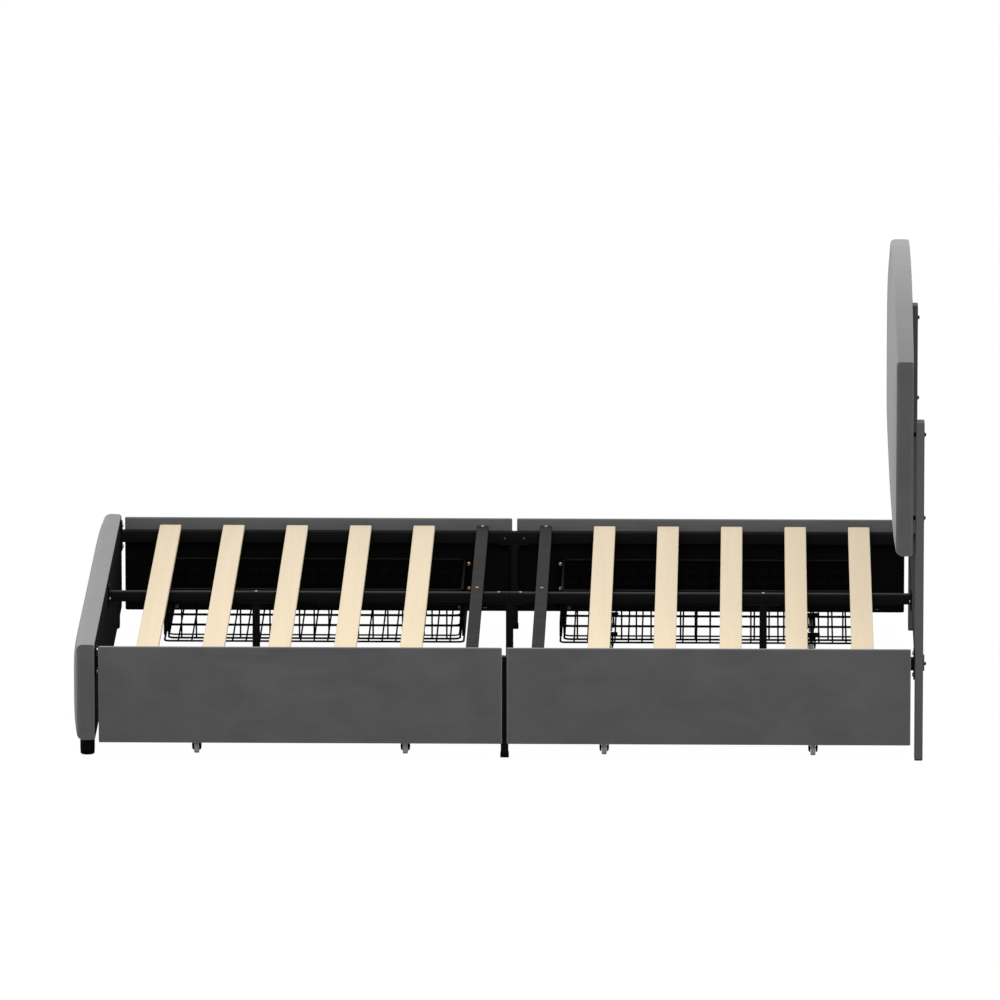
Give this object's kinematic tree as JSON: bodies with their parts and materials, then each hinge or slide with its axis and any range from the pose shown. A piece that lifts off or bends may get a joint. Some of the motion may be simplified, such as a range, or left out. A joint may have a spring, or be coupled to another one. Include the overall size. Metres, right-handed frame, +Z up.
{
  "type": "platform bed with storage drawers",
  "caption": "Upholstered platform bed: arched headboard on posts, steel rails and legs, wooden slats, and wire-basket storage drawers on casters under both sides.",
  "frame": {"origin": "on the floor, at the middle of the whole bed in plan", "axes": "+X towards the headboard, +Y towards the left side as seen from the foot, +Z up; the drawers roll out along +Y and -Y"},
  "size_m": [2.022, 1.478, 1.072],
  "materials": {
    "velvet": "charcoal-grey short-pile velvet over foam and board",
    "back_board": "board covered with black dust cloth",
    "black_metal": "black powder coat, satin",
    "grey_metal": "charcoal-grey powder coat, satin",
    "slat_metal": "dark grey powder coat, satin",
    "slat_wood": "pale sanded softwood or laminated birch, unlacquered",
    "black_plastic": "moulded black plastic",
    "caster_tread": "grey moulded tread",
    "brass_screw": "yellow-passivated screw heads"
  },
  "bodies": {
    "frame": {"footboard_pad": "velvet", "footboard_board": "back_board", "footboard_foot_right": "black_plastic", "footboard_foot_left": "black_plastic", "headboard_pad": "velvet", "headboard_board": "back_board", "headboard_post_right": "grey_metal", "headboard_post_left": "grey_metal", "head_cross_rail": "black_metal", "centre_rail_foot": "black_metal", "side_rail_right_foot": "black_metal", "side_rail_left_foot": "black_metal", "centre_rail_head": "black_metal", "side_rail_right_head": "black_metal", "side_rail_left_head": "black_metal", "side_leg_right": "black_metal", "side_leg_left": "black_metal", "centre_leg_1": "black_metal", "centre_leg_2": "black_metal", "centre_leg_3": "black_metal", "wood_slat_1": "slat_wood", "wood_slat_2": "slat_wood", "wood_slat_3": "slat_wood", "wood_slat_4": "slat_wood", "wood_slat_5": "slat_wood", "wood_slat_6": "slat_wood", "wood_slat_7": "slat_wood", "wood_slat_8": "slat_wood", "wood_slat_9": "slat_wood", "wood_slat_10": "slat_wood", "metal_slat_foot": "slat_metal", "metal_slat_head": "slat_metal"},
    "drawer_right_foot": {"drawer_right_foot_front": "velvet", "drawer_right_foot_basket": "black_metal", "drawer_right_foot_base": "black_metal"},
    "drawer_right_foot_wheel_1": {"drawer_right_foot_wheel_1": "caster_tread"},
    "drawer_right_foot_wheel_2": {"drawer_right_foot_wheel_2": "caster_tread"},
    "drawer_right_foot_wheel_3": {"drawer_right_foot_wheel_3": "caster_tread"},
    "drawer_right_foot_wheel_4": {"drawer_right_foot_wheel_4": "caster_tread"},
    "drawer_right_head": {"drawer_right_head_front": "velvet", "drawer_right_head_basket": "black_metal", "drawer_right_head_base": "black_metal"},
    "drawer_right_head_wheel_1": {"drawer_right_head_wheel_1": "caster_tread"},
    "drawer_right_head_wheel_2": {"drawer_right_head_wheel_2": "caster_tread"},
    "drawer_right_head_wheel_3": {"drawer_right_head_wheel_3": "caster_tread"},
    "drawer_right_head_wheel_4": {"drawer_right_head_wheel_4": "caster_tread"},
    "drawer_left_foot": {"drawer_left_foot_front": "velvet", "drawer_left_foot_basket": "black_metal", "drawer_left_foot_base": "black_metal"},
    "drawer_left_foot_wheel_1": {"drawer_left_foot_wheel_1": "caster_tread"},
    "drawer_left_foot_wheel_2": {"drawer_left_foot_wheel_2": "caster_tread"},
    "drawer_left_foot_wheel_3": {"drawer_left_foot_wheel_3": "caster_tread"},
    "drawer_left_foot_wheel_4": {"drawer_left_foot_wheel_4": "caster_tread"},
    "drawer_left_head": {"drawer_left_head_front": "velvet", "drawer_left_head_basket": "black_metal", "drawer_left_head_base": "black_metal"},
    "drawer_left_head_wheel_1": {"drawer_left_head_wheel_1": "caster_tread"},
    "drawer_left_head_wheel_2": {"drawer_left_head_wheel_2": "caster_tread"},
    "drawer_left_head_wheel_3": {"drawer_left_head_wheel_3": "caster_tread"},
    "drawer_left_head_wheel_4": {"drawer_left_head_wheel_4": "caster_tread"}
  },
  "joints": [
    {"name": "drawer_right_foot_slide", "type": "slide", "parent": "frame", "child": "drawer_right_foot", "axis": [0, -1, 0], "range_m": [0, 0.35]},
    {"name": "drawer_right_foot_wheel_1_roll", "type": "hinge", "parent": "drawer_right_foot", "child": "drawer_right_foot_wheel_1", "pos_m": [-0.7202, -0.672, 0.018], "axis": [1, 0, 0], "continuous": true},
    {"name": "drawer_right_foot_wheel_2_roll", "type": "hinge", "parent": "drawer_right_foot", "child": "drawer_right_foot_wheel_2", "pos_m": [-0.2222, -0.672, 0.018], "axis": [1, 0, 0], "continuous": true},
    {"name": "drawer_right_foot_wheel_3_roll", "type": "hinge", "parent": "drawer_right_foot", "child": "drawer_right_foot_wheel_3", "pos_m": [-0.7202, -0.447, 0.018], "axis": [1, 0, 0], "continuous": true},
    {"name": "drawer_right_foot_wheel_4_roll", "type": "hinge", "parent": "drawer_right_foot", "child": "drawer_right_foot_wheel_4", "pos_m": [-0.2222, -0.447, 0.018], "axis": [1, 0, 0], "continuous": true},
    {"name": "drawer_right_head_slide", "type": "slide", "parent": "frame", "child": "drawer_right_head", "axis": [0, -1, 0], "range_m": [0, 0.35]},
    {"name": "drawer_right_head_wheel_1_roll", "type": "hinge", "parent": "drawer_right_head", "child": "drawer_right_head_wheel_1", "pos_m": [0.2522, -0.672, 0.018], "axis": [1, 0, 0], "continuous": true},
    {"name": "drawer_right_head_wheel_2_roll", "type": "hinge", "parent": "drawer_right_head", "child": "drawer_right_head_wheel_2", "pos_m": [0.7502, -0.672, 0.018], "axis": [1, 0, 0], "continuous": true},
    {"name": "drawer_right_head_wheel_3_roll", "type": "hinge", "parent": "drawer_right_head", "child": "drawer_right_head_wheel_3", "pos_m": [0.2522, -0.447, 0.018], "axis": [1, 0, 0], "continuous": true},
    {"name": "drawer_right_head_wheel_4_roll", "type": "hinge", "parent": "drawer_right_head", "child": "drawer_right_head_wheel_4", "pos_m": [0.7502, -0.447, 0.018], "axis": [1, 0, 0], "continuous": true},
    {"name": "drawer_left_foot_slide", "type": "slide", "parent": "frame", "child": "drawer_left_foot", "axis": [0, 1, 0], "range_m": [0, 0.35]},
    {"name": "drawer_left_foot_wheel_1_roll", "type": "hinge", "parent": "drawer_left_foot", "child": "drawer_left_foot_wheel_1", "pos_m": [-0.2222, 0.672, 0.018], "axis": [1, 0, 0], "continuous": true},
    {"name": "drawer_left_foot_wheel_2_roll", "type": "hinge", "parent": "drawer_left_foot", "child": "drawer_left_foot_wheel_2", "pos_m": [-0.7202, 0.672, 0.018], "axis": [1, 0, 0], "continuous": true},
    {"name": "drawer_left_foot_wheel_3_roll", "type": "hinge", "parent": "drawer_left_foot", "child": "drawer_left_foot_wheel_3", "pos_m": [-0.2222, 0.447, 0.018], "axis": [1, 0, 0], "continuous": true},
    {"name": "drawer_left_foot_wheel_4_roll", "type": "hinge", "parent": "drawer_left_foot", "child": "drawer_left_foot_wheel_4", "pos_m": [-0.7202, 0.447, 0.018], "axis": [1, 0, 0], "continuous": true},
    {"name": "drawer_left_head_slide", "type": "slide", "parent": "frame", "child": "drawer_left_head", "axis": [0, 1, 0], "range_m": [0, 0.35]},
    {"name": "drawer_left_head_wheel_1_roll", "type": "hinge", "parent": "drawer_left_head", "child": "drawer_left_head_wheel_1", "pos_m": [0.7502, 0.672, 0.018], "axis": [1, 0, 0], "continuous": true},
    {"name": "drawer_left_head_wheel_2_roll", "type": "hinge", "parent": "drawer_left_head", "child": "drawer_left_head_wheel_2", "pos_m": [0.2522, 0.672, 0.018], "axis": [1, 0, 0], "continuous": true},
    {"name": "drawer_left_head_wheel_3_roll", "type": "hinge", "parent": "drawer_left_head", "child": "drawer_left_head_wheel_3", "pos_m": [0.7502, 0.447, 0.018], "axis": [1, 0, 0], "continuous": true},
    {"name": "drawer_left_head_wheel_4_roll", "type": "hinge", "parent": "drawer_left_head", "child": "drawer_left_head_wheel_4", "pos_m": [0.2522, 0.447, 0.018], "axis": [1, 0, 0], "continuous": true}
  ],
  "couplings": [
    {"joint": "drawer_right_foot_wheel_1_roll", "follows": "drawer_right_foot_slide", "rad_per_m": 55.556},
    {"joint": "drawer_right_foot_wheel_2_roll", "follows": "drawer_right_foot_slide", "rad_per_m": 55.556},
    {"joint": "drawer_right_foot_wheel_3_roll", "follows": "drawer_right_foot_slide", "rad_per_m": 55.556},
    {"joint": "drawer_right_foot_wheel_4_roll", "follows": "drawer_right_foot_slide", "rad_per_m": 55.556},
    {"joint": "drawer_right_head_wheel_1_roll", "follows": "drawer_right_head_slide", "rad_per_m": 55.556},
    {"joint": "drawer_right_head_wheel_2_roll", "follows": "drawer_right_head_slide", "rad_per_m": 55.556},
    {"joint": "drawer_right_head_wheel_3_roll", "follows": "drawer_right_head_slide", "rad_per_m": 55.556},
    {"joint": "drawer_right_head_wheel_4_roll", "follows": "drawer_right_head_slide", "rad_per_m": 55.556},
    {"joint": "drawer_left_foot_wheel_1_roll", "follows": "drawer_left_foot_slide", "rad_per_m": -55.556},
    {"joint": "drawer_left_foot_wheel_2_roll", "follows": "drawer_left_foot_slide", "rad_per_m": -55.556},
    {"joint": "drawer_left_foot_wheel_3_roll", "follows": "drawer_left_foot_slide", "rad_per_m": -55.556},
    {"joint": "drawer_left_foot_wheel_4_roll", "follows": "drawer_left_foot_slide", "rad_per_m": -55.556},
    {"joint": "drawer_left_head_wheel_1_roll", "follows": "drawer_left_head_slide", "rad_per_m": -55.556},
    {"joint": "drawer_left_head_wheel_2_roll", "follows": "drawer_left_head_slide", "rad_per_m": -55.556},
    {"joint": "drawer_left_head_wheel_3_roll", "follows": "drawer_left_head_slide", "rad_per_m": -55.556},
    {"joint": "drawer_left_head_wheel_4_roll", "follows": "drawer_left_head_slide", "rad_per_m": -55.556}
  ]
}
